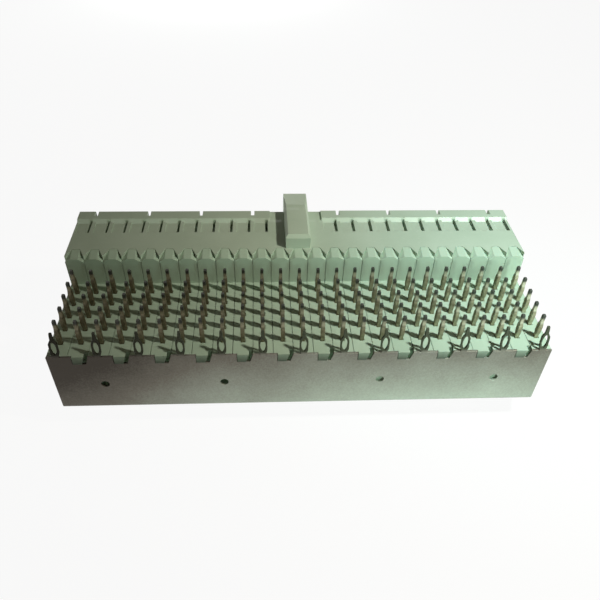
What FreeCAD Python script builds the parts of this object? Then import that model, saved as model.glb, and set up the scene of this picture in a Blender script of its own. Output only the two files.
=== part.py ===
import FreeCAD
import Part
import math
import os

# Right-angle press-fit board connector on a metric grid, lying on its top side with its tails up.
# +X runs along the columns, +Y points out of the mating face, +Z points at the board.
# The origin is the middle of the resting face.

# Grid
column_count = 25
row_count = 5
pitch = 2.0

# Sheet metal
shield_sheet = 0.25
contact_sheet = 0.4
lead_width = 0.4
bend_radius = 0.3

# Heights, from the resting face or from the board seating face
seat_height = 10.6
wall_rise = 3.5
tail_length = 2.9
shield_tail_length = 2.7
rear_plate_height = 7.1
first_row_drop = 1.3

# Depths, from the first tail row towards the mating face
wall_setback = 1.5
housing_depth = 9.0
keel_depth = 1.5
leg_reach = 4.5

# Fits
wafer_gap = 0.07
joint_gap = 0.05

# Wafer
bar_thickness = 0.6
lead_cover = 0.6
slab_side = 0.25
keel_width = 0.8
ridge_drop = 0.25
eave_drop = 0.6

# Contact
beam_offset = 0.3
beam_stop = 1.2
bulge_width = 0.62
bulge_height = 1.7
tail_tip_width = 0.3

# Sockets in the mating face
socket_width = 0.9
socket_height = 1.2

# Polarising rib
key_columns = 3
key_width = 2.7
key_rise = 1.6
key_overhang = 1.9
key_root = 0.9
key_setback = 1.45
key_bevel = 0.35
key_edge = 0.25
key_lead_in = 3.0
key_lead_drop = 0.3

# Lip along the mating edge
lip_depth = 1.75
lip_rise = 0.25
lip_bevel = 0.2
lip_notch_width = 0.4
lip_notch_depth = 1.15
lip_notch_drop = 1.2
lip_notch_columns = 3

# Pockets behind the lip
pocket_depth = 0.12
pocket_length = 2.05
pocket_ramp = 0.45
pocket_left = 0.85
pocket_right = 0.725
slit_width = 0.3
slit_overrun = 0.3
skin_thickness = 1.4

# Coring slots in the mating face
core_height = 1.7
core_wall = 0.8

# Rear shield edge
tail_step = 2
tail_lean = 0.45
eye_width = 0.9
eye_slot_width = 0.5
neck_width = 0.56
eye_base = 0.55
eye_height = 0.9
point_length = 0.65
point_width = 0.4
tip_width = 0.2
notch_depth = 0.95
nub_left = 0.55
nub_right = 0.6
nub_slant = 0.3
nub_gap = 0.05
nub_slit = 0.4
slit_depth = 0.5
hole_radius = 0.42
hole_sides = 8
hole_drop = 3.8
hole_from_end = 5.0
hole_from_middle = 8.0
hole_well_width = 1.0
hole_well_depth = 0.8

# Derived places
length = column_count * pitch
half_length = length / 2
reach_rear = row_count * pitch + shield_sheet / 2
reach_front = wall_setback + housing_depth + key_overhang
row_a_y = (reach_rear - reach_front) / 2
shield_out_y = row_a_y - reach_rear
shield_in_y = shield_out_y + shield_sheet
wall_y = row_a_y + wall_setback
keel_y = wall_y + keel_depth
housing_rear_y = keel_y + joint_gap
mating_y = wall_y + housing_depth
key_end_y = mating_y + key_overhang
leg_end_y = keel_y + leg_reach
top_z = seat_height + wall_rise
bend_z = seat_height - rear_plate_height
wafer_width = pitch - wafer_gap
lip_near_y = mating_y - lip_depth
ramp_near_y = lip_near_y - pocket_ramp
pocket_near_y = ramp_near_y - pocket_length
half_bend = math.tan(math.pi / 8)
slope_top_z = bend_z + (shield_sheet + bend_radius) * half_bend

os.makedirs("parts", exist_ok=True)


def vec(x, y, z):
    return FreeCAD.Vector(x, y, z)


def column_x(column):
    return (column - (column_count - 1) / 2) * pitch


def row_y(row):
    return row_a_y - row * pitch


def row_z(row):
    return seat_height - first_row_drop - row * pitch


def box(x0, x1, y0, y1, z0, z1):
    return Part.makeBox(x1 - x0, y1 - y0, z1 - z0, vec(x0, y0, z0))


def face_of(points):
    return Part.Face(Part.makePolygon(points + points[:1]))


def side_prism(points, x0, x1):
    # Outline in Y and Z, drawn out along X
    return face_of([vec(x0, y, z) for y, z in points]).extrude(vec(x1 - x0, 0, 0))


def plan_prism(points, z0, z1):
    # Outline in X and Y, drawn out along Z
    return face_of([vec(x, y, z0) for x, y in points]).extrude(vec(0, 0, z1 - z0))


def front_prism(points, y0, y1):
    # Outline in X and Z, drawn out along Y
    return face_of([vec(x, y0, z) for x, z in points]).extrude(vec(0, y1 - y0, 0))


def solid_of(faces):
    return Part.Solid(Part.Shell([face_of(points) for points in faces]))


def is_key_column(column):
    return abs(column - (column_count - 1) / 2) < key_columns / 2


# One contact: press-fit tail, bent lead and tapered beam, stamped in the plane of its column
def contact(column, row):
    y = row_y(row)
    half = lead_width / 2
    low = row_z(row) + beam_offset - half
    high = low + lead_width
    beam_end_y = mating_y - beam_stop
    tail = [(tail_tip_width / 2, tail_length), (bulge_width / 2, bulge_height), (half, 0)]
    outline = [(y - w, seat_height + h) for w, h in tail]
    outline += lead_corner(y - half, low, wafer_cut(y - half, low), 0)
    outline.append((beam_end_y, low))
    outline += reversed(lead_corner(y + half, high, wafer_cut(y - half, low), lead_width))
    outline += [(y + w, seat_height + h) for w, h in reversed(tail)]
    x = column_x(column)
    return side_prism(outline, x - contact_sheet / 2, x + contact_sheet / 2)


# How far a lead's outer corner is cut at 45 degrees to stay inside the wafer's sloping corner
def wafer_cut(y, z):
    inside = (y - shield_in_y) + (z - slope_top_z)
    return max(0.0, lead_cover * math.sqrt(2) - inside)


def lead_corner(y, z, cut, inset):
    step = cut - inset * (1 - half_bend)
    if step <= 0:
        return [(y, z)]
    return [(y, z + step), (y + step, z)]


# One wafer: upright slab with a hipped top, and two side walls that grip the leads between them
def wafer_body():
    half = wafer_width / 2
    slope_run = slope_top_z - shield_sheet
    profile = [
        (shield_in_y, seat_height),
        (keel_y, seat_height),
        (keel_y, shield_sheet),
        (shield_in_y + slope_run, shield_sheet),
        (shield_in_y, slope_top_z),
    ]
    body = side_prism(profile, -half, half).fuse(slab())
    return body.cut(lead_slot()).removeSplitter()


# Slot that grips the five leads, open to the board along the tails and to the housing at the beams
def lead_slot():
    rear_y = row_y(row_count - 1) - lead_width / 2
    front_y = row_a_y + lead_width / 2
    bar_z = seat_height - bar_thickness
    profile = [
        (rear_y, shield_sheet),
        (rear_y, seat_height),
        (front_y, seat_height),
        (front_y, bar_z),
        (keel_y, bar_z),
        (keel_y, shield_sheet),
    ]
    return side_prism(profile, -contact_sheet / 2, contact_sheet / 2)


def slab():
    half = wafer_width / 2
    side_y = wall_y + slab_side
    eave_z = top_z - eave_drop
    ridge_z = top_z - ridge_drop
    side_z = eave_z + slab_side * ridge_drop / keel_depth
    base = seat_height

    def flank(sign):
        near = vec(sign * half, wall_y, base)
        near_top = vec(sign * half, wall_y, eave_z)
        far = vec(sign * half, side_y, base)
        far_top = vec(sign * half, side_y, side_z)
        keel = vec(sign * keel_width / 2, keel_y, base)
        keel_top = vec(sign * keel_width / 2, keel_y, top_z)
        ridge = vec(sign * keel_width / 2, wall_y, ridge_z)
        return near, near_top, far, far_top, keel, keel_top, ridge

    near_l, near_top_l, far_l, far_top_l, keel_l, keel_top_l, ridge_l = flank(-1)
    near_r, near_top_r, far_r, far_top_r, keel_r, keel_top_r, ridge_r = flank(1)
    return solid_of([
        [near_l, near_r, far_r, keel_r, keel_l, far_l],
        [near_l, near_top_l, ridge_l, ridge_r, near_top_r, near_r],
        [near_r, near_top_r, far_top_r, far_r],
        [near_l, far_l, far_top_l, near_top_l],
        [far_r, far_top_r, keel_top_r, keel_r],
        [far_l, keel_l, keel_top_l, far_top_l],
        [keel_l, keel_r, keel_top_r, keel_top_l],
        [ridge_l, keel_top_l, keel_top_r, ridge_r],
        [ridge_r, keel_top_r, far_top_r, near_top_r],
        [ridge_l, near_top_l, far_top_l, keel_top_l],
    ])


# Nub on every other wafer that fills the left part of a notch in the shield's edge
def nub():
    bottom = seat_height - notch_depth
    outline = [
        (-nub_left, bottom),
        (nub_right - nub_slant, bottom),
        (nub_right, seat_height),
        (-nub_left, seat_height),
    ]
    return front_prism(outline, shield_out_y, shield_in_y)


# Slanted slit between a nub and its notch, sunk into the wafer
def slit():
    bottom = seat_height - notch_depth
    foot = nub_right - nub_slant
    outline = [
        (foot, bottom),
        (foot + nub_slit, bottom),
        (nub_right + nub_slit, seat_height),
        (nub_right, seat_height),
    ]
    return front_prism(outline, shield_in_y, shield_in_y + slit_depth)


def notch_outline(x):
    bottom = seat_height - notch_depth
    return [
        (x - nub_left - nub_gap, seat_height),
        (x - nub_left - nub_gap, bottom),
        (x + nub_right - nub_slant + nub_slit, bottom),
        (x + nub_right + nub_slit, seat_height),
    ]


def has_tail(column):
    return column % tail_step == 0


def has_nub(column):
    return not has_tail(column)


# Front housing: sockets, coring slots, pockets, lip, guide teeth and polarising rib in one moulding
def front_housing():
    profile = [
        (housing_rear_y, shield_sheet),
        (leg_end_y + joint_gap, shield_sheet),
        (leg_end_y + joint_gap, 0),
        (mating_y, 0),
        (mating_y, seat_height),
        (housing_rear_y, seat_height),
    ]
    block = side_prism(profile, -half_length, half_length)
    block = block.fuse(toothed_top()).cut(sockets() + coring_slots() + pockets())
    return block.fuse(lips() + [key()]).cut(slits() + lip_notches()).removeSplitter()


def sockets():
    half = socket_width / 2
    cuts = []
    for column in range(column_count):
        x = column_x(column)
        for row in range(row_count):
            z = row_z(row)
            cuts.append(box(x - half, x + half, housing_rear_y, mating_y,
                            z - socket_height / 2, z + socket_height / 2))
    return cuts


# The two stretches beside the polarising rib, each from its inner to its outer end
def side_spans():
    inner = key_columns * pitch / 2
    return [(-half_length, -inner), (inner, half_length)]


def coring_slots():
    ceiling = top_z - skin_thickness
    return [box(x0 + core_wall, x1 - core_wall, pocket_near_y, mating_y, ceiling - core_height, ceiling)
            for x0, x1 in side_spans()]


def pockets():
    floor = top_z - pocket_depth
    slope = pocket_ramp / (pocket_depth + lip_rise)
    profile = [
        (pocket_near_y, top_z),
        (pocket_near_y, floor),
        (ramp_near_y, floor),
        (ramp_near_y + slope * pocket_depth, top_z),
    ]
    return [side_prism(profile, x - pocket_left, x + pocket_right) for x in pocket_places()]


def pocket_places():
    return [column_x(column) for column in range(column_count) if not is_key_column(column)]


# Slits down the right side of the pockets, through the ramp of the lip and into the coring slots
def slits():
    return [box(x + pocket_right - slit_width, x + pocket_right, pocket_near_y, ramp_near_y + slit_overrun,
                top_z - skin_thickness, top_z + lip_rise) for x in pocket_places()]


def lips():
    slope = pocket_ramp / (pocket_depth + lip_rise)
    profile = [
        (lip_near_y - slope * lip_rise, top_z),
        (mating_y, top_z),
        (mating_y, top_z + lip_rise - lip_bevel),
        (mating_y - lip_bevel, top_z + lip_rise),
        (lip_near_y, top_z + lip_rise),
    ]
    return [side_prism(profile, x0, x1) for x0, x1 in side_spans()]


def lip_notches():
    half = lip_notch_width / 2
    inner = key_columns * pitch / 2
    cuts = []
    x = half_length - pitch
    while x - half > inner:
        for middle in (-x, x):
            cuts.append(box(middle - half, middle + half, mating_y - lip_notch_depth, mating_y,
                            top_z - lip_notch_drop, top_z + lip_rise))
        x -= lip_notch_columns * pitch
    return cuts


# Upper part with a saw-tooth edge: a tooth between each two wafers and half a tooth at each end
def toothed_top():
    tip_y = wall_y + slab_side + joint_gap
    half_tip = wafer_gap / 2
    outline = [(-half_length, mating_y), (-half_length, tip_y)]
    for column in range(column_count):
        x = column_x(column)
        outline.append((x - pitch / 2 + half_tip, tip_y))
        outline.append((x - keel_width / 2, housing_rear_y))
        outline.append((x + keel_width / 2, housing_rear_y))
        outline.append((x + pitch / 2 - half_tip, tip_y))
    outline += [(half_length, tip_y), (half_length, mating_y)]
    return plan_prism(outline, seat_height, top_z)


def key():
    near = wall_y + key_setback
    high = top_z + key_rise
    low = top_z - key_root
    profile = [
        (near, top_z),
        (near, high - key_bevel),
        (near + key_bevel, high),
        (key_end_y - key_lead_in, high),
        (key_end_y, high - key_lead_drop),
        (key_end_y, low),
        (mating_y, low),
        (mating_y, top_z),
    ]
    half = key_width / 2
    rounded = [
        (-half, low),
        (half, low),
        (half, high - key_edge),
        (half - key_edge, high),
        (-half + key_edge, high),
        (-half, high - key_edge),
    ]
    return side_prism(profile, -half, half).common(front_prism(rounded, near, key_end_y))


# Rear shield: upright plate, sloping fold and covering leg, with tails leaning in along the upright edge
def rear_shield():
    outer = [(shield_out_y, seat_height), (shield_out_y, bend_z),
             (shield_out_y + bend_z, 0), (leg_end_y, 0)]
    inset = shield_sheet * half_bend
    inner = [(shield_in_y, seat_height), (shield_in_y, bend_z + inset),
             (shield_out_y + bend_z + inset, shield_sheet), (leg_end_y, shield_sheet)]
    edges = bent_edges(outer, bend_radius + shield_sheet)
    edges.append(line(inner[3], outer[3]))
    edges += bent_edges(inner, bend_radius)
    edges.append(line(outer[0], inner[0]))
    wire = Part.Wire(Part.__sortEdges__(edges))
    sheet = Part.Face(wire).extrude(vec(length, 0, 0))
    tails = [shield_tail(column_x(c)) for c in range(column_count) if has_tail(c)]
    notches = [front_prism(notch_outline(column_x(c)), shield_out_y, shield_in_y)
               for c in range(column_count) if has_nub(c)]
    return sheet.fuse(tails).cut(notches + shield_holes()).removeSplitter()


def line(start, end):
    return Part.makeLine(vec(-half_length, *start), vec(-half_length, *end))


# Straight runs joined by arcs at the two folds, each fold turning by 45 degrees
def bent_edges(points, radius):
    start, fold_a, fold_b, end = [vec(-half_length, y, z) for y, z in points]
    edges = []
    last = start
    for before, corner, after in ((start, fold_a, fold_b), (fold_a, fold_b, end)):
        into = (corner - before).normalize()
        away = (after - corner).normalize()
        tangent = radius * half_bend
        arc_start = corner - into * tangent
        arc_end = corner + away * tangent
        inward = (away - into).normalize()
        middle = corner + inward * (radius / math.cos(math.pi / 8) - radius)
        edges.append(Part.makeLine(last, arc_start))
        edges.append(Part.Arc(arc_start, middle, arc_end).toShape())
        last = arc_end
    edges.append(Part.makeLine(last, end))
    return edges


def shield_tail(x):
    z = seat_height
    eye_low = z + eye_base
    eye_high = eye_low + eye_height
    tip_z = z + shield_tail_length
    point_z = tip_z - point_length
    half_side = [(neck_width / 2, z), (eye_width / 2, eye_low), (eye_width / 2, eye_high),
                 (point_width / 2, point_z), (tip_width / 2, tip_z)]
    outline = [(x + w, h) for w, h in half_side] + [(x - w, h) for w, h in reversed(half_side)]
    slot_low = (eye_low + z) / 2
    slot_high = (eye_high + point_z) / 2
    slot = [(x, slot_low), (x + eye_slot_width / 2, eye_low), (x + eye_slot_width / 2, eye_high),
            (x, slot_high), (x - eye_slot_width / 2, eye_high), (x - eye_slot_width / 2, eye_low)]
    leaning = [(shield_out_y, z), (shield_in_y, z), (shield_in_y + tail_lean, tip_z),
               (shield_out_y + tail_lean, tip_z)]
    blade = side_prism(leaning, x - eye_width, x + eye_width)
    pattern = front_prism(outline, shield_out_y, shield_in_y + tail_lean)
    return blade.common(pattern.cut(front_prism(slot, shield_out_y, shield_in_y + tail_lean)))


def hole_places():
    outer = half_length - hole_from_end
    return [-outer, -hole_from_middle, hole_from_middle, outer]


def shield_holes():
    z = seat_height - hole_drop
    angles = [2 * math.pi * (side + 0.5) / hole_sides for side in range(hole_sides)]
    return [front_prism([(x + hole_radius * math.cos(a), z + hole_radius * math.sin(a)) for a in angles],
                        shield_out_y, shield_in_y)
            for x in hole_places()]


# Wells in the wafers behind the shield's holes
def hole_wells():
    z = seat_height - hole_drop
    half = hole_well_width / 2
    return [box(x - half, x + half, shield_in_y, shield_in_y + hole_well_depth, z - half, z + half)
            for x in hole_places()]


def save(shape, name):
    shape.exportStep("parts/" + name + ".step")
    print(name, "solids", len(shape.Solids), "volume %.3f" % shape.Volume, "valid", shape.isValid())


save(front_housing(), "front_housing")
save(rear_shield(), "rear_shield")
plain_wafer = wafer_body()
nub_wafer = plain_wafer.fuse(nub()).cut(slit()).removeSplitter()
for column in range(column_count):
    label = "%02d" % (column + 1)
    wafer = (nub_wafer if has_nub(column) else plain_wafer).copy()
    wafer.translate(vec(column_x(column), 0, 0))
    save(wafer.cut(hole_wells()), "wafer_" + label)
    save(Part.Compound([contact(column, row) for row in range(row_count)]), "contacts_" + label)
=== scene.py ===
import bmesh
import bpy
import math
import random
from mathutils import Matrix, Vector


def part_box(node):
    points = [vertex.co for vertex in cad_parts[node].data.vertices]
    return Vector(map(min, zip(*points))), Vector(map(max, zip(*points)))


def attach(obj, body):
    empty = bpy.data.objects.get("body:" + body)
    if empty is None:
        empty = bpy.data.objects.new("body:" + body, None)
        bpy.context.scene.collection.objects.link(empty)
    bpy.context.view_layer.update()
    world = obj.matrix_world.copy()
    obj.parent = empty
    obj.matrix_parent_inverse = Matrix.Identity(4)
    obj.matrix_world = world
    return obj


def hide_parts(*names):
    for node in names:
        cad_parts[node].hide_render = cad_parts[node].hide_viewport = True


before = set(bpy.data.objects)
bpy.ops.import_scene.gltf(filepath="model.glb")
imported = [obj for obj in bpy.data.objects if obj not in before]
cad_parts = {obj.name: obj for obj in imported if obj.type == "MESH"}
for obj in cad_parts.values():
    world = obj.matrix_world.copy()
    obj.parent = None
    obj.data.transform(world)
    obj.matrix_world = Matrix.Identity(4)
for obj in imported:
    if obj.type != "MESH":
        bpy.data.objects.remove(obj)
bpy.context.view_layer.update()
scene = bpy.context.scene
print("frame loaded:", len(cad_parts), "nodes")

# Meshes are made in millimetres and brought down to the frame's metres at the end
mm = 0.001


def boxInMm(node):
    low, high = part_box(node)
    return low / mm, high / mm


# Places that several pieces share, in millimetres
grid = {
    "rows": 5,
    "seat": 10.6,   # board seating face
    "sheet": 0.25,  # shield sheet
    "lead": 0.4,    # width and thickness of a contact's lead
    "holesAt": (-20, -8, 8, 20),  # round holes in the shield
    "holeDrop": 3.8,
    "shallowAt": (8, 20),  # holes that look light inside
}
shieldLow, shieldHigh = boxInMm("rear_shield")
housingHigh = boxInMm("front_housing")[1]
labels = sorted(name[-2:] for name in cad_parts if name.startswith("wafer_"))
columnX = {}
for label in labels:
    low, high = boxInMm("contacts_" + label)
    columnX[label] = (low.x + high.x) / 2
pitch = columnX[labels[1]] - columnX[labels[0]]


def rowY(row):
    return shieldLow.y + grid["sheet"] / 2 + (grid["rows"] - row) * pitch


def hasShieldTail(label):
    return labels.index(label) % 2 == 0


def isBehind(holes, label):
    return any(abs(columnX[label] - x) < pitch / 2 for x in holes)


# Limits for every mesh
meshLimits = {
    "doubles": 0.0005,    # mm between points that become one
    "flat": 0.5,          # degrees between faces that become one
    "strip": 0.12,        # mm across the strips of folds and softened edges
    "round": 1,           # radians between faces that shade round
    "alike": 0.9999,      # normals less alike than this split an edge
}


def addObject(content, name):
    holder = bpy.data.objects.new(name, content)
    scene.collection.objects.link(holder)
    return holder


def finalMesh(holder):
    graph = bpy.context.evaluated_depsgraph_get()
    mesh = bpy.data.meshes.new_from_object(holder.evaluated_get(graph), depsgraph=graph)
    bpy.data.objects.remove(holder)
    return mesh


def formOf(mesh):
    form = bmesh.new()
    form.from_mesh(mesh)
    return form


def meshOf(form, name):
    mesh = bpy.data.meshes.new(name)
    form.to_mesh(mesh)
    form.free()
    return mesh


def cleanForm(form):
    flat = math.radians(meshLimits["flat"])
    bmesh.ops.remove_doubles(form, verts=form.verts, dist=meshLimits["doubles"])
    bmesh.ops.dissolve_limit(form, angle_limit=flat, verts=form.verts, edges=form.edges)
    bmesh.ops.recalc_face_normals(form, faces=form.faces)


def addBox(form, low, high):
    corners = bmesh.ops.create_cube(form, size=1)["verts"]
    bmesh.ops.scale(form, vec=[top - bottom for bottom, top in zip(low, high)], verts=corners)
    bmesh.ops.translate(form, vec=[(top + bottom) / 2 for bottom, top in zip(low, high)], verts=corners)


def boxMesh(name, low, high):
    form = bmesh.new()
    addBox(form, low, high)
    return meshOf(form, name)


def solidForm(node):
    form = formOf(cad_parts[node].data)
    bmesh.ops.scale(form, vec=Vector((1 / mm,) * 3), verts=form.verts)
    cleanForm(form)
    return form


def softenEdges(form, width, segments=2, corner=30, chosen=None):
    sharp = [edge for edge in form.edges if edge.calc_face_angle(0) > math.radians(corner)]
    if chosen:
        sharp = [edge for edge in sharp if chosen(edge)]
    bmesh.ops.bevel(form, geom=sharp, offset=width, segments=segments, profile=0.5,
                    affect="EDGES", clamp_overlap=True)


# Broad faces stay flat, and the narrow strips of folds and softened edges shade round between them.
# material_index marks the strips until the normals are known.
def shadedMesh(form, name):
    for face in form.faces:
        longest = max(edge.calc_length() for edge in face.edges)
        face.material_index = int(face.calc_area() < meshLimits["strip"] * longest)
        face.smooth = True
    bmesh.ops.triangulate(form, faces=[face for face in form.faces if len(face.verts) > 4])
    form.normal_update()
    areas = {face: face.calc_area() for face in form.faces}
    normals = {}
    for face in form.faces:
        for corner in face.loops:
            normal = face.normal.copy()
            if face.material_index:
                nearby = [near for near in corner.vert.link_faces
                          if near.normal.angle(face.normal, 0) < meshLimits["round"]]
                normal = sum((near.normal * areas[near] for near in nearby), Vector())
            normals[corner] = normal.normalized() if normal.length > 0 else Vector((0, 0, 1))
    for edge in form.edges:
        if len(edge.link_loops) == 2:
            first, second = edge.link_loops
            pairs = ((first, second.link_loop_next), (first.link_loop_next, second))
            alike = min(normals[one].dot(normals[other]) for one, other in pairs)
            edge.smooth = alike > meshLimits["alike"]
    split = [normals[corner] for face in form.faces for corner in face.loops]
    for face in form.faces:
        face.material_index = 0
    mesh = meshOf(form, name)
    mesh.normals_split_custom_set(split)
    return mesh


def addPiece(mesh, name, material, slotName, *nodes):
    mesh.transform(Matrix.Scale(mm, 4))
    mesh.materials.clear()
    mesh.materials.append(material)
    piece = addObject(mesh, name)
    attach(piece, "root")
    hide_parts(*nodes)


# Closed outlines, filled and drawn out to a sheet with softened edges
def stampedForm(outlines, thickness, edge):
    curve = bpy.data.curves.new("stamping", "CURVE")
    curve.dimensions = "2D"
    curve.fill_mode = "BOTH"
    curve.extrude = thickness / 2 - edge
    curve.bevel_depth = edge
    curve.bevel_resolution = 1
    curve.offset = -edge
    for outline in outlines:
        spline = curve.splines.new("POLY")
        spline.points.add(len(outline) - 1)
        for point, (across, along) in zip(spline.points, outline):
            point.co = (across, along, 0, 1)
        spline.use_cyclic_u = True
    mesh = finalMesh(addObject(curve, "stamping"))
    form = formOf(mesh)
    cleanForm(form)
    bpy.data.curves.remove(curve)
    bpy.data.meshes.remove(mesh)
    return form


# Outline helpers


def stepsBetween(start, end, steps):
    return [start + (end - start) * step / steps for step in range(steps + 1)]


def shareBetween(start, end, value):
    return min(max((value - start) / (end - start), 0), 1)


def easeBetween(start, end, share):
    return start + (end - start) * share * share * (3 - 2 * share)


def arcPoints(centre, radius, start, end, steps):
    points = []
    for degrees in stepsBetween(start, end, steps):
        angle = math.radians(degrees)
        points.append((centre[0] + radius * math.cos(angle), centre[1] + radius * math.sin(angle)))
    return points


eyeFullness = 0.6  # power of the sine, lower is fuller


def eyeOutline(x, half, span, steps):
    low, high = span
    side = []
    for share in stepsBetween(0, 1, steps):
        side.append((half * math.sin(math.pi * share) ** eyeFullness, low + (high - low) * share))
    right = [(x + across, height) for across, height in side]
    left = [(x - across, height) for across, height in reversed(side[1:-1])]
    return right + left


# Material helpers


def newMaterial(name):
    material = bpy.data.materials.new(name)
    material.use_nodes = True
    tree = material.node_tree
    tree.nodes.clear()
    output = tree.nodes.new("ShaderNodeOutputMaterial")
    return material, tree, output


def plug(tree, socket, value):
    if isinstance(value, bpy.types.NodeSocket):
        tree.links.new(value, socket)
    else:
        socket.default_value = value


def addNode(tree, kind, inputs, **settings):
    node = tree.nodes.new(kind)
    for name, value in settings.items():
        setattr(node, name, value)
    for name, value in inputs.items():
        plug(tree, node.inputs[name], value)
    return node


def coat(tree, output, inputs):
    shader = addNode(tree, "ShaderNodeBsdfPrincipled", inputs)
    tree.links.new(shader.outputs["BSDF"], output.inputs["Surface"])


# Object coordinates in millimetres, stretched along chosen axes
def millimetres(tree, stretch=(1, 1, 1)):
    coordinates = tree.nodes.new("ShaderNodeTexCoord")
    scale = [share / mm for share in stretch]
    mapping = addNode(tree, "ShaderNodeMapping", {"Vector": coordinates.outputs["Object"], "Scale": scale})
    return mapping.outputs["Vector"]


def splitAxes(tree, vector):
    return addNode(tree, "ShaderNodeSeparateXYZ", {"Vector": vector}).outputs


def noise(tree, vector, size, detail, roughness=0.5):
    inputs = {"Vector": vector, "Scale": 1 / size, "Detail": detail, "Roughness": roughness}
    return addNode(tree, "ShaderNodeTexNoise", inputs).outputs["Fac"]


# From two limits of the value that is read to two limits of the value that is given
def remap(tree, value, low, high, newLow=0.0, newHigh=1.0):
    inputs = {"Value": value, "From Min": low, "From Max": high, "To Min": newLow, "To Max": newHigh}
    return addNode(tree, "ShaderNodeMapRange", inputs).outputs["Result"]


def maths(tree, operation, first, second):
    node = tree.nodes.new("ShaderNodeMath")
    node.operation = operation
    plug(tree, node.inputs[0], first)
    plug(tree, node.inputs[1], second)
    return node.outputs[0]


def colour(red, green, blue):
    return (red, green, blue, 1.0)


white = colour(1, 1, 1)


def mixColour(tree, factor, first, second, mode="MIX"):
    node = tree.nodes.new("ShaderNodeMix")
    node.data_type = "RGBA"
    node.blend_type = mode
    plug(tree, node.inputs[0], factor)
    plug(tree, node.inputs[6], first)  # its colours come after its numbers and vectors
    plug(tree, node.inputs[7], second)
    return node.outputs[2]


def bump(tree, height, strength, depth, edge=0, rays=6):
    inputs = {"Height": height, "Strength": strength, "Distance": depth * mm}
    if edge:
        rounded = addNode(tree, "ShaderNodeBevel", {"Radius": edge * mm}, samples=rays)
        inputs["Normal"] = rounded.outputs["Normal"]
    return addNode(tree, "ShaderNodeBump", inputs).outputs["Normal"]


# Glass-filled moulded plastic: soft clouding, short fibre flecks, a fine eroded skin
plasticLook = {
    "housing": (colour(0.47, 0.56, 0.46), colour(0.43, 0.52, 0.42), colour(0.58, 0.63, 0.54)),
    "wafer": (colour(0.455, 0.57, 0.462), colour(0.415, 0.53, 0.424), colour(0.56, 0.63, 0.54)),
    "clouds": (6.0, 4.0),        # size in mm and detail
    "cloudShare": (0.35, 0.65),
    "flecks": (0.12, 1.0),
    "fleckStretch": (0.35, 1, 1),
    "fleckShare": (0.62, 0.78, 0.0, 0.35),
    "grain": (0.05, 3.0),
    "grainBump": (0.25, 0.012),  # strength and depth in mm
    "roughness": (0.3, 0.7, 0.34, 0.46),
    "index": 1.52,        # of refraction
    "edge": 0.05,         # rounding of the edges
    "sheen": 0.08,        # share of a clear plastic's mirror reflection
    "rubbedSheen": 0.45,
    "rubbedRoughness": 0.36,
    "rubbedFrom": (7.05, 7.15),  # ramp of the lip
    "rubbedTo": (7.58, 7.66),
    "slitAt": 0.575,      # each slit beside its column, where the ramp stays dull
    "dullBy": (0.18, 0.30),
    # painted shade: a near-black colour laid where the gaps behind the shield and the feet of the tabs fall
    # into shade
    "paintedShade": colour(0.02, 0.02, 0.014),
    "gapFrom": (-11.24, -11.20),  # painted shade in the gaps behind the shield
    "gapTo": (-10.985, -11.005),
    "gapTop": (10.58, 10.50),
    "tabShadeFrom": (-11.20, -11.24),  # painted shade on the front of the tabs, darker towards the foot
    "tabShadeDown": (grid["seat"], 9.75, 0.3, 0.75),
}


def mouldedPlastic(name, tone, shade, fleck, rubbed=False, paintsShade=False):
    material, tree, output = newMaterial(name)
    place = millimetres(tree)
    axes = splitAxes(tree, place)
    clouds = noise(tree, place, *plasticLook["clouds"])
    flecks = noise(tree, millimetres(tree, plasticLook["fleckStretch"]), *plasticLook["flecks"])
    grain = noise(tree, place, *plasticLook["grain"])
    base = mixColour(tree, remap(tree, clouds, *plasticLook["cloudShare"]), tone, shade)
    base = mixColour(tree, remap(tree, flecks, *plasticLook["fleckShare"]), base, fleck)
    rough = remap(tree, clouds, *plasticLook["roughness"])
    sheen = plasticLook["sheen"]
    # painted shade, darkening the gaps behind the shield and the tabs towards their feet
    if paintsShade:
        gap = maths(tree, "MULTIPLY", remap(tree, axes["Y"], *plasticLook["gapFrom"]),
                    remap(tree, axes["Y"], *plasticLook["gapTo"]))
        gap = maths(tree, "MULTIPLY", gap, remap(tree, axes["Z"], *plasticLook["gapTop"]))
        # painted shade on the tab fronts, darker towards the foot
        tabShade = maths(tree, "MULTIPLY", remap(tree, axes["Y"], *plasticLook["tabShadeFrom"]),
                      remap(tree, axes["Z"], *plasticLook["tabShadeDown"]))
        base = mixColour(tree, maths(tree, "MAXIMUM", gap, tabShade), base, plasticLook["paintedShade"])
    if rubbed:
        share = maths(tree, "SUBTRACT", remap(tree, axes["Y"], *plasticLook["rubbedFrom"]),
                      remap(tree, axes["Y"], *plasticLook["rubbedTo"]))
        fromSlit = maths(tree, "SUBTRACT", axes["X"], plasticLook["slitAt"])
        fromSlit = maths(tree, "PINGPONG", fromSlit, pitch / 2)
        share = maths(tree, "MULTIPLY", share, remap(tree, fromSlit, *plasticLook["dullBy"]))
        sheen = remap(tree, share, 0, 1, sheen, plasticLook["rubbedSheen"])
        inputs = {"Factor": share, "A": rough, "B": plasticLook["rubbedRoughness"]}
        rough = addNode(tree, "ShaderNodeMix", inputs).outputs["Result"]
    normal = bump(tree, grain, *plasticLook["grainBump"], plasticLook["edge"])
    coat(tree, output, {"Base Color": base, "Roughness": rough, "IOR": plasticLook["index"],
                        "Specular IOR Level": sheen, "Normal": normal})
    return material
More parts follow.
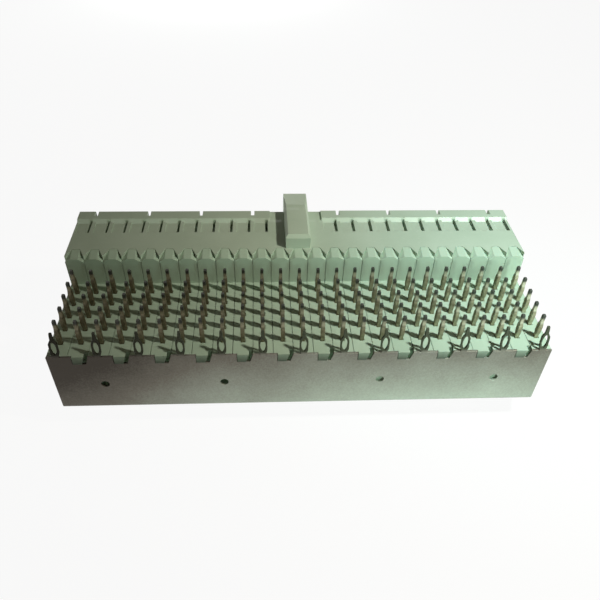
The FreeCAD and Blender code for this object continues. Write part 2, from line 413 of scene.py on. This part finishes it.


# Plated tail: dull brownish tin, drawn lines along the tail, a dark band at the shoulder, painted shade on
# the blunt tip, and painted light and shade from left to right
tailLook = {
    "tin": colour(0.27, 0.25, 0.185),
    "tarnish": colour(0.15, 0.13, 0.085),
    "pale": colour(0.36, 0.34, 0.28),
    "shoulder": colour(0.085, 0.075, 0.05),
    # painted shade on the blunt tip
    "shadedTip": colour(0.038, 0.041, 0.035),
    "shoulderAt": 1.68,   # mm above the seat
    "paleFrom": 1.85,
    "tipFrom": 2.42,
    "fade": 0.14,
    "waver": (0, 1, -0.15, 0.15),  # of these heights, from patch to patch
    "patches": (0.7, 4.0),
    "patchShare": (0.38, 0.66),
    "lines": (0.04, 2.0),
    "lineStretch": (1, 1, 0.08),
    "lineShade": colour(0.5, 0.5, 0.5),
    "lineShare": 0.25,
    "lineBump": (0.2, 0.01),
    "leftEnd": colour(0.64, 0.59, 0.46),  # painted shade to the left, browner and darker, and painted light to the right
    "rightEnd": colour(1.60, 1.68, 1.55),
    "lightAlong": (-10, 25),
    "metal": 0.45,
    "roughness": (0.3, 0.7, 0.42, 0.58),
}


def platedTail():
    material, tree, output = newMaterial("plated_tail")
    place = millimetres(tree)
    axes = splitAxes(tree, place)
    patches = noise(tree, place, *tailLook["patches"])
    lines = noise(tree, millimetres(tree, tailLook["lineStretch"]), *tailLook["lines"])
    tarnished = remap(tree, patches, *tailLook["patchShare"])
    base = mixColour(tree, tarnished, tailLook["tin"], tailLook["tarnish"])
    height = maths(tree, "ADD", axes["Z"], remap(tree, patches, *tailLook["waver"]))
    fade = tailLook["fade"]
    # bands: a dark shoulder, a paler stem and painted shade on the tip
    for band, tone in (("shoulderAt", "shoulder"), ("paleFrom", "pale"), ("tipFrom", "shadedTip")):
        start = grid["seat"] + tailLook[band]
        base = mixColour(tree, remap(tree, height, start - fade, start + fade), base, tailLook[tone])
    shade = mixColour(tree, lines, tailLook["lineShade"], white)
    base = mixColour(tree, tailLook["lineShare"], base, shade, "MULTIPLY")
    # painted light and shade: the tails lighten from the left end to the right as the lamps fall on them
    along = remap(tree, axes["X"], *tailLook["lightAlong"])
    sideLight = mixColour(tree, along, tailLook["leftEnd"], tailLook["rightEnd"])
    base = mixColour(tree, 1.0, base, sideLight, "MULTIPLY")
    coat(tree, output, {"Base Color": base, "Metallic": tailLook["metal"],
                        "Roughness": remap(tree, patches, *tailLook["roughness"]),
                        "Normal": bump(tree, lines, *tailLook["lineBump"])})
    return material


# Rolled sheet: grey metal with stains and a speckled skin, darkened to brown towards the upper edge and the
# left end by painted shade, with painted light and reflection lighter towards the foot and a little right
# of the middle
sheetLook = {
    "tones": ((0.0, colour(0.043, 0.034, 0.024)), (0.33, colour(0.158, 0.145, 0.117)),
              (0.66, colour(0.32, 0.345, 0.288)), (1.0, colour(0.52, 0.62, 0.51))),
    "brightAt": 12.5,     # mm along the plate, where the painted light is brightest
    "darkAfter": 37,
    "acrossLight": (0.445, -0.20),
    "downReflection": (grid["seat"], 3.0, 0.0, 0.5),
    "stains": (7.0, 5.0, 0.6),  # size in mm, detail and roughness
    "stainTone": (0.3, 0.7, -0.08, 0.08),
    "specks": (0.16, 3.0),
    "speckTone": (0.3, 0.7, -0.05, 0.05),
    "speckBump": (0.15, 0.01),
    "lines": (0.05, 2.0),
    "lineStretch": (0.03, 1, 1),
    "lineTone": (0.3, 0.7, -0.02, 0.02),
    "roughness": (0.3, 0.7, 0.42, 0.56),
    # painted shade: the tails of the sheet are darker than the plate, darkest at the left end
    "tails": (grid["seat"], 10.9),
    "tailShade": colour(0.075, 0.085, 0.058),
    "leftTailShade": colour(0.018, 0.015, 0.010),
    "tailsAlong": (-27, 4),
    "metal": (0.6, 0.1),  # on the plate and on the dull tails
    "sheen": (0.5, 0.12),
}


def rolledSheet():
    material, tree, output = newMaterial("rolled_sheet")
    place = millimetres(tree)
    axes = splitAxes(tree, place)
    lines = noise(tree, millimetres(tree, sheetLook["lineStretch"]), *sheetLook["lines"])
    stains = noise(tree, place, *sheetLook["stains"])
    specks = noise(tree, place, *sheetLook["specks"])
    # painted light and reflection: lighter about one place along the plate and towards the foot, darker to
    # both ends and the upper edge
    aside = maths(tree, "SUBTRACT", axes["X"], sheetLook["brightAt"])
    aside = maths(tree, "MULTIPLY", aside, aside)
    tone = remap(tree, aside, 0, sheetLook["darkAfter"] ** 2, *sheetLook["acrossLight"])
    changes = ((axes["Z"], "downReflection"), (stains, "stainTone"), (specks, "speckTone"), (lines, "lineTone"))
    for value, change in changes:
        tone = maths(tree, "ADD", tone, remap(tree, value, *sheetLook[change]))
    ramp = addNode(tree, "ShaderNodeValToRGB", {"Fac": tone})
    stops = ramp.color_ramp.elements
    for stop, (position, shade) in zip(stops, (sheetLook["tones"][0], sheetLook["tones"][-1])):
        stop.position = position
        stop.color = shade
    for position, shade in sheetLook["tones"][1:-1]:
        stops.new(position).color = shade
    # painted shade on the tails, deeper towards the left end
    onTail = remap(tree, axes["Z"], *sheetLook["tails"])
    alongTails = remap(tree, axes["X"], *sheetLook["tailsAlong"])
    tailShade = mixColour(tree, alongTails, sheetLook["leftTailShade"], sheetLook["tailShade"])
    coat(tree, output, {"Base Color": mixColour(tree, onTail, ramp.outputs["Color"], tailShade),
                        "Metallic": remap(tree, onTail, 0, 1, *sheetLook["metal"]),
                        "Specular IOR Level": remap(tree, onTail, 0, 1, *sheetLook["sheen"]),
                        "Roughness": remap(tree, lines, *sheetLook["roughness"]),
                        "Normal": bump(tree, specks, *sheetLook["speckBump"])})
    return material


housingPlastic = mouldedPlastic("housing_plastic", *plasticLook["housing"], rubbed=True)
waferPlastic = mouldedPlastic("wafer_plastic", *plasticLook["wafer"], paintsShade=True)
tailMetal = platedTail()
shieldMetal = rolledSheet()
print("materials made")

# Front housing: the moulding with funnelled sockets and softened edges
housingForm = {
    "funnel": 0.14,
    "edge": 0.07,
    "edgeCorner": 50,     # degrees
    "longEdge": 4,        # shorter edges stay sharp
    "broadFace": 5,       # square millimetres
    "keyOverhang": 1.9,   # how far the rib stands past the mating face
    "onFace": 0.01,       # how close an edge of a socket mouth lies to the mating face
    "mouthShare": 0.7,    # longest edge of a socket mouth, as a share of the pitch
    "webAcross": (3.8, 24.2),  # thin web that closes the slits from below
    "webAlong": (5.1, 7.5),
    "webUp": (13.3, 13.4),
}
matingY = housingHigh.y - housingForm["keyOverhang"]


def isSocketMouth(edge):
    onFace = all(abs(vert.co.y - matingY) < housingForm["onFace"] for vert in edge.verts)
    belowSeat = all(vert.co.z < grid["seat"] for vert in edge.verts)
    return onFace and belowSeat and edge.calc_length() < pitch * housingForm["mouthShare"]


def isOuterEdge(edge):
    broad = all(face.calc_area() > housingForm["broadFace"] for face in edge.link_faces)
    return broad and edge.calc_length() > housingForm["longEdge"]


def frontHousing():
    form = solidForm("front_housing")
    softenEdges(form, housingForm["funnel"], segments=1, chosen=isSocketMouth)
    softenEdges(form, housingForm["edge"], corner=housingForm["edgeCorner"], chosen=isOuterEdge)
    near, far = housingForm["webAcross"]
    for low, high in ((-far, -near), (near, far)):
        addBox(form, *zip((low, high), housingForm["webAlong"], housingForm["webUp"]))
    mesh = shadedMesh(form, "front_moulding")
    addPiece(mesh, "front_moulding", housingPlastic, "housing_plastic", "front_housing")


frontHousing()
print("front housing made")

# Wafers: the slot round the tails is closed at the seat, with a small well at each tail
waferForm = {
    "fillDepth": 0.6,
    "fillOver": 0.05,     # how far the fill runs into the walls
    "wellLength": 0.60,
    "wellWidth": 0.54,
    "wellDepth": 0.09,
    "wellOver": 1,        # how far its cutter stands above the seat
    "seam": 0.05,         # left open between two wafers
    "pitDepth": (0.06, 0.85),  # fill of the pit behind a shallow hole of the shield
    "pitHalf": 0.55,
}


# What is joined to a wafer at the origin or cut from it
def waferTools(label):
    seat, half, over = grid["seat"], grid["lead"] / 2, waferForm["fillOver"]
    fillLow = (-half - over, rowY(grid["rows"] - 1) - half - over, seat - waferForm["fillDepth"])
    fillHigh = (half + over, rowY(0) + half + over, seat)
    tools = [("UNION", boxMesh("fill", fillLow, fillHigh))]
    if isBehind(grid["shallowAt"], label):
        pit, middle = waferForm["pitHalf"], seat - grid["holeDrop"]
        near, far = (shieldLow.y + grid["sheet"] + depth for depth in waferForm["pitDepth"])
        tools.append(("UNION", boxMesh("pit", (-pit, near, middle - pit), (pit, far, middle + pit))))
    wide, long = waferForm["wellWidth"] / 2, waferForm["wellLength"] / 2
    for row in range(grid["rows"]):
        wellLow = (-wide, rowY(row) - long, seat - waferForm["wellDepth"])
        wellHigh = (wide, rowY(row) + long, seat + waferForm["wellOver"])
        tools.append(("DIFFERENCE", boxMesh("well", wellLow, wellHigh)))
    return tools


def changedMesh(mesh, tools):
    holder = addObject(mesh, "moulding")
    cutters = []
    for operation, tool in tools:
        cutter = addObject(tool, "tool")
        change = holder.modifiers.new("change", "BOOLEAN")
        change.operation = operation
        change.solver = "EXACT"
        change.object = cutter
        cutters.append(cutter)
    result = finalMesh(holder)
    for cutter in cutters:
        bpy.data.objects.remove(cutter)
    return result


def waferMesh(label):
    node = "wafer_" + label
    low, high = boxInMm(node)
    wider = (pitch - waferForm["seam"]) / (high.x - low.x)
    form = solidForm(node)
    bmesh.ops.translate(form, vec=(-columnX[label], 0, 0), verts=form.verts)
    bmesh.ops.scale(form, vec=(wider, 1, 1), verts=form.verts)
    form = formOf(changedMesh(meshOf(form, "moulding"), waferTools(label)))
    cleanForm(form)
    return shadedMesh(form, "moulded_wafer")


def wafers():
    kinds = {}
    for label in labels:
        kind = (hasShieldTail(label), isBehind(grid["holesAt"], label), isBehind(grid["shallowAt"], label))
        if kind not in kinds:
            kinds[kind] = waferMesh(label)
        mesh = kinds[kind].copy()
        mesh.transform(Matrix.Translation((columnX[label], 0, 0)))
        addPiece(mesh, "moulded_wafer_" + label, waferPlastic, "wafer_plastic", "wafer_" + label)


wafers()
print("wafers made:", len(labels))

# Contacts: eye-of-the-needle tail, bent lead and tapered beam, stamped in the plane of the column
contactForm = {
    "tail": 2.9,          # height above the seat
    "bulge": 0.31,        # half widths
    "shank": 0.17,
    "tip": 0.14,
    "bulgeFrom": (0.25, 0.80),
    "bulgeTo": (1.45, 2.10),
    "bulgeSteps": 5,
    "tipFrom": 2.76,
    "tipSteps": 2,
    "eye": (0.50, 1.80),
    "eyeHalf": 0.08,
    "eyeSteps": 8,
    "coined": 0.15,       # how much of the thickness is lost at the tip
    "shankSheet": 0.85,   # share of the sheet left above the eye
    "beamDepth": 1.0,     # first beam below the seat
    "beamStop": 1.2,
    "beamTip": 0.1,
    "outerBend": 0.45,
    "innerBend": 0.08,
    "bendSteps": (5, 3),  # outside and inside
    "rearCut": 1.5013,    # corner of the last row, cut at 45 degrees
    "edge": 0.03,
    "lean": 0.012,
    "leanSeed": 25,
}


def tailHalf(height):
    bulge, shank = contactForm["bulge"], contactForm["shank"]
    half = easeBetween(grid["lead"] / 2, bulge, shareBetween(*contactForm["bulgeFrom"], height))
    half = easeBetween(half, shank, shareBetween(*contactForm["bulgeTo"], height))
    over = shareBetween(contactForm["tipFrom"], contactForm["tail"], height)
    return half + (contactForm["tip"] - shank) * over * over


def tailHeights():
    heights = [0.0]
    for start, end in (contactForm["bulgeFrom"], contactForm["bulgeTo"]):
        heights += stepsBetween(start, end, contactForm["bulgeSteps"])
    return heights + stepsBetween(contactForm["tipFrom"], contactForm["tail"], contactForm["tipSteps"])


def contactOutline(row):
    half = grid["lead"] / 2
    low = -contactForm["beamDepth"] - row * pitch - half
    high = low + grid["lead"]
    beamEnd = matingY - contactForm["beamStop"] - rowY(row)
    left = [(-tailHalf(height), height) for height in reversed(tailHeights())]
    right = [(-across, height) for across, height in reversed(left)]
    if row == grid["rows"] - 1:
        cut = contactForm["rearCut"]
        inner = cut - grid["lead"] * (2 - math.sqrt(2))
        outside = [(-half, low + cut), (-half + cut, low)]
        inside = [(half + inner, high), (half, high + inner)]
    else:
        outer, inner = contactForm["outerBend"], contactForm["innerBend"]
        outerSteps, innerSteps = contactForm["bendSteps"]
        outside = arcPoints((outer - half, low + outer), outer, 180, 270, outerSteps)
        inside = arcPoints((half + inner, high + inner), inner, 270, 180, innerSteps)
    beam = [(beamEnd, low), (beamEnd, low + contactForm["beamTip"])]
    return left + outside + beam + inside + right


def contactMesh(row):
    eye = eyeOutline(0, contactForm["eyeHalf"], contactForm["eye"], contactForm["eyeSteps"])
    form = stampedForm([contactOutline(row), eye], grid["lead"], contactForm["edge"])
    for vert in form.verts:
        thin = shareBetween(*contactForm["bulgeTo"], vert.co.y)
        over = shareBetween(contactForm["tipFrom"], contactForm["tail"], vert.co.y)
        vert.co.z *= easeBetween(1, contactForm["shankSheet"], thin) - contactForm["coined"] * over
    turn = Matrix(((0, 0, 1, 0), (1, 0, 0, rowY(row)), (0, 1, 0, grid["seat"]), (0, 0, 0, 1)))
    form.transform(turn)
    return meshOf(form, "contact")


def contacts():
    draw = random.Random(contactForm["leanSeed"])
    rowMeshes = [contactMesh(row) for row in range(grid["rows"])]
    for label in labels:
        form = bmesh.new()
        for mesh in rowMeshes:
            known = len(form.verts)
            form.from_mesh(mesh)
            leanX, leanY = draw.gauss(0, contactForm["lean"]), draw.gauss(0, contactForm["lean"])
            form.verts.ensure_lookup_table()
            for vert in form.verts[known:]:
                rise = max(0, vert.co.z - grid["seat"])
                vert.co += Vector((leanX * rise, leanY * rise, 0))
        bmesh.ops.translate(form, vec=(columnX[label], 0, 0), verts=form.verts)
        bmesh.ops.recalc_face_normals(form, faces=form.faces)
        mesh = shadedMesh(form, "tail_column")
        addPiece(mesh, "tail_column_" + label, tailMetal, "tail_metal", "contacts_" + label)


contacts()
print("contacts made:", len(labels) * grid["rows"])

# Rear shield: one stamping with eye tails, notches and holes, folded twice by 45 degrees
shieldForm = {
    "plate": 7.1,         # upright height
    "bend": 0.3,          # inner radius of the folds
    "foldAngle": 45,
    "foldSteps": 4,
    "cutWithin": 1e-5,    # points this close to a cut across the sheet lie on it
    "tail": 2.7,          # height above the seat
    "lean": 0.45,         # how far a tail leans in at its tip
    "neck": 0.28,         # half widths
    "eyeHalf": 0.43,
    "point": 0.17,
    "tip": 0.12,
    "tipLength": 0.3,
    "taper": 0.9,         # share of the point's width where the tip begins
    "eyeFrom": (0.0, 0.55),
    "eyeTo": (1.45, 2.05),
    "sideSteps": 6,
    "eye": (0.27, 1.78),
    "eyeSlot": 0.27,
    "eyeSteps": 10,
    "notchDepth": 0.95,
    "notchLeft": 0.60,
    "notchRight": (0.70, 1.00),  # at the foot and at the edge
    "holeRadius": 0.42,
    "holeSides": 24,
    "edge": 0.03,
}
foldRadius = shieldForm["bend"] + grid["sheet"] / 2  # at the middle of the sheet


def shieldTail(x):
    halves = (shieldForm["neck"], shieldForm["eyeHalf"], shieldForm["point"])
    spans = (shieldForm["eyeFrom"], shieldForm["eyeTo"])
    side = []
    for before, after, (start, end) in zip(halves, halves[1:], spans):
        for share in stepsBetween(0, 1, shieldForm["sideSteps"]):
            side.append((easeBetween(before, after, share), start + (end - start) * share))
    side.append((shieldForm["point"] * shieldForm["taper"], shieldForm["tail"] - shieldForm["tipLength"]))
    side.append((shieldForm["tip"], shieldForm["tail"]))
    left = [(x - across, height) for across, height in side]
    right = [(x + across, height) for across, height in reversed(side)]
    return left + right


def shieldNotch(x):
    foot, edge = shieldForm["notchRight"]
    left, depth = shieldForm["notchLeft"], shieldForm["notchDepth"]
    return [(x - left, 0), (x - left, -depth), (x + foot, -depth), (x + edge, 0)]


def shieldHole(x):
    sides = shieldForm["holeSides"]
    return arcPoints((x, -grid["holeDrop"]), shieldForm["holeRadius"], 0, 360 - 360 / sides, sides - 1)


# Where a point of the flat stamping goes when the two folds are made
def foldedPlace(down, out, stretches):
    y, z, heading = shieldLow.y + grid["sheet"] / 2, grid["seat"], 0.0
    if down < 0:
        lean = -down * shieldForm["lean"] / shieldForm["tail"]
        return y + lean - out, z - down
    for kind, stretch in stretches:
        part = min(down, stretch)
        turn = part / foldRadius if kind == "fold" else 0.0
        if turn:
            y += foldRadius * (math.cos(heading) - math.cos(heading + turn))
            z -= foldRadius * (math.sin(heading + turn) - math.sin(heading))
        else:
            y += part * math.sin(heading)
            z -= part * math.cos(heading)
        heading += turn
        down -= part
    return y - out * math.cos(heading), z - out * math.sin(heading)


# Lengths of the plate, the folds, the slope and the leg along the middle of the sheet
def shieldStretches():
    turn = math.radians(shieldForm["foldAngle"])
    fold = foldRadius * turn
    plate = shieldForm["plate"] - (shieldForm["bend"] + grid["sheet"]) * math.tan(turn / 2)
    slopeRise = grid["seat"] - plate - foldRadius - grid["sheet"] / 2
    slope = slopeRise / math.cos(turn)
    stretches = [("plate", plate), ("fold", fold), ("slope", slope), ("fold", fold)]
    legStart = foldedPlace(plate + 2 * fold + slope, 0, stretches)[0]
    return stretches + [("leg", shieldHigh.y - legStart)]


# Rows of points across each fold, so that it bends round
def cutFolds(form, stretches):
    passed = 0
    for kind, stretch in stretches:
        if kind == "fold":
            for part in stepsBetween(0, stretch, shieldForm["foldSteps"]):
                bmesh.ops.bisect_plane(form, geom=form.verts[:] + form.edges[:] + form.faces[:],
                                       dist=shieldForm["cutWithin"],
                                       plane_co=(0, -passed - part, 0), plane_no=(0, 1, 0))
        passed += stretch


def rearShield():
    stretches = shieldStretches()
    whole = sum(stretch for kind, stretch in stretches)
    outline = [(shieldLow.x, 0)]
    eyes = []
    for label in labels:
        x = columnX[label]
        if hasShieldTail(label):
            outline += shieldTail(x)
            eyes.append(eyeOutline(x, shieldForm["eyeSlot"], shieldForm["eye"], shieldForm["eyeSteps"]))
        else:
            outline += shieldNotch(x)
    outline += [(shieldHigh.x, 0), (shieldHigh.x, -whole), (shieldLow.x, -whole)]
    holes = [shieldHole(x) for x in grid["holesAt"]]
    form = stampedForm([outline] + eyes + holes, grid["sheet"], shieldForm["edge"])
    cutFolds(form, stretches)
    for vert in form.verts:
        y, z = foldedPlace(-vert.co.y, vert.co.z, stretches)
        vert.co = (vert.co.x, y, z)
    bmesh.ops.recalc_face_normals(form, faces=form.faces)
    mesh = shadedMesh(form, "folded_shield")
    addPiece(mesh, "folded_shield", shieldMetal, "shield_metal", "rear_shield")


rearShield()
print("rear shield made")

# Floor, world and lamps
stageLook = {
    "floorSize": 900,
    "floorUp": (-2, -0.005),  # just below the part
    "floorColour": colour(0.86, 0.88, 0.87),
    "whiteShare": 0.93,   # how much of the floor is plain white to the eye
    "ambient": colour(1.0, 0.80, 0.50),
    "ambientLevel": 0.055,
}


def seenDirectly(tree):
    path = tree.nodes.new("ShaderNodeLightPath")
    seen = maths(tree, "MAXIMUM", path.outputs["Is Camera Ray"], path.outputs["Is Glossy Ray"])
    return maths(tree, "MAXIMUM", seen, path.outputs["Is Transmission Ray"])


def paleFloor():
    half = stageLook["floorSize"] / 2
    bottom, top = stageLook["floorUp"]
    mesh = boxMesh("pale_floor", (-half, -half, bottom), (half, half, top))
    mesh.transform(Matrix.Scale(mm, 4))
    material, tree, output = newMaterial("pale_floor")
    matte = addNode(tree, "ShaderNodeBsdfDiffuse", {"Color": stageLook["floorColour"]})
    plain = addNode(tree, "ShaderNodeEmission", {"Color": white, "Strength": 1.0})
    share = maths(tree, "MULTIPLY", seenDirectly(tree), stageLook["whiteShare"])
    mix = addNode(tree, "ShaderNodeMixShader", {"Fac": share})
    tree.links.new(matte.outputs[0], mix.inputs[1])
    tree.links.new(plain.outputs[0], mix.inputs[2])
    tree.links.new(mix.outputs[0], output.inputs["Surface"])
    mesh.materials.append(material)
    addObject(mesh, "pale_floor")


def paleWorld():
    world = bpy.data.worlds.new("pale_world")
    scene.world = world
    world.use_nodes = True
    tree = world.node_tree
    tree.nodes.clear()
    seen = seenDirectly(tree)
    tint = mixColour(tree, seen, stageLook["ambient"], white)
    level = remap(tree, seen, 0, 1, stageLook["ambientLevel"], 1.0)
    background = addNode(tree, "ShaderNodeBackground", {"Color": tint, "Strength": level})
    output = tree.nodes.new("ShaderNodeOutputWorld")
    tree.links.new(background.outputs[0], output.inputs["Surface"])


# Two hard lamps share a place above the right end, a wide warm one and a narrow cool one that lifts
# the right half. The others fill in from the front right, the back and the left. Places and sizes
# are in millimetres, power is in watts and cones are in degrees.
keyPlace = (46, -31, 80)
lamps = {
    "warm_key": {"kind": "SPOT", "place": keyPlace, "target": (40, 0, 12), "power": 0.256,
                 "colour": (0.965, 0.935, 0.785), "size": 3, "cone": 108},
    "cool_key": {"kind": "SPOT", "place": keyPlace, "target": (30, -2, 12), "power": 0.15,
                 "colour": (0.38, 0.72, 0.84), "size": 3, "cone": 45},
    "front_fill": {"kind": "SPOT", "place": (95, -130, 32), "target": (62, 0, 12), "power": 0.57,
                   "colour": (0.74, 1.0, 0.86), "size": 25, "cone": 60},
    "back_light": {"kind": "AREA", "place": (-20, 190, 8), "target": (0, 9, 8), "power": 0.28,
                   "colour": (0.95, 1.0, 0.95), "size": 12},
    "left_light": {"kind": "AREA", "place": (-190, 20, 2), "target": (-25, 0, 8), "power": 0.045,
                   "colour": (1.0, 0.96, 0.88), "size": 12},
}


def addLamp(name, lamp):
    light = bpy.data.lights.new(name, lamp["kind"])
    light.energy = lamp["power"]
    light.color = lamp["colour"]
    if lamp["kind"] == "SPOT":
        light.shadow_soft_size = lamp["size"] * mm
        light.spot_size = math.radians(lamp["cone"])
        light.spot_blend = 1.0
    else:
        light.shape = "DISK"
        light.size = lamp["size"] * mm
    holder = addObject(light, name)
    place = Vector(lamp["place"])
    aim = Vector(lamp["target"]) - place
    holder.location = place * mm
    holder.rotation_euler = aim.to_track_quat("-Z", "Y").to_euler()


paleFloor()
paleWorld()
for name, lamp in lamps.items():
    addLamp(name, lamp)
print("floor, world and lamps made")

# Camera at the photograph's viewing angle
cameraView = {
    "frame": 600,                # pixels
    "focal": 601.7,
    "centre": (295, 360),
    "sensor": 36,                # mm
    "near": 2,
    "far": 10000,
    "place": (-3.78, -53.59, 51.88),
    "pitch": 44.76,              # degrees
    "yaw": -3.96,
    "roll": -1.86,
}


def addCamera():
    camera = bpy.data.cameras.new("camera")
    size = cameraView["frame"]
    camera.sensor_width = cameraView["sensor"]
    camera.lens = camera.sensor_width * cameraView["focal"] / size
    camera.shift_x = (size / 2 - cameraView["centre"][0]) / size
    camera.shift_y = (cameraView["centre"][1] - size / 2) / size
    camera.clip_start = cameraView["near"] * mm
    camera.clip_end = cameraView["far"] * mm
    holder = addObject(camera, "camera")
    turn = Matrix.Rotation(math.radians(cameraView["yaw"]), 4, "Z")
    turn = turn @ Matrix.Rotation(math.radians(90 - cameraView["pitch"]), 4, "X")
    turn = turn @ Matrix.Rotation(math.radians(-cameraView["roll"]), 4, "Z")
    holder.matrix_world = Matrix.Translation(Vector(cameraView["place"]) * mm) @ turn
    scene.camera = holder


addCamera()
scene.view_settings.view_transform = "Standard"
print("camera set")
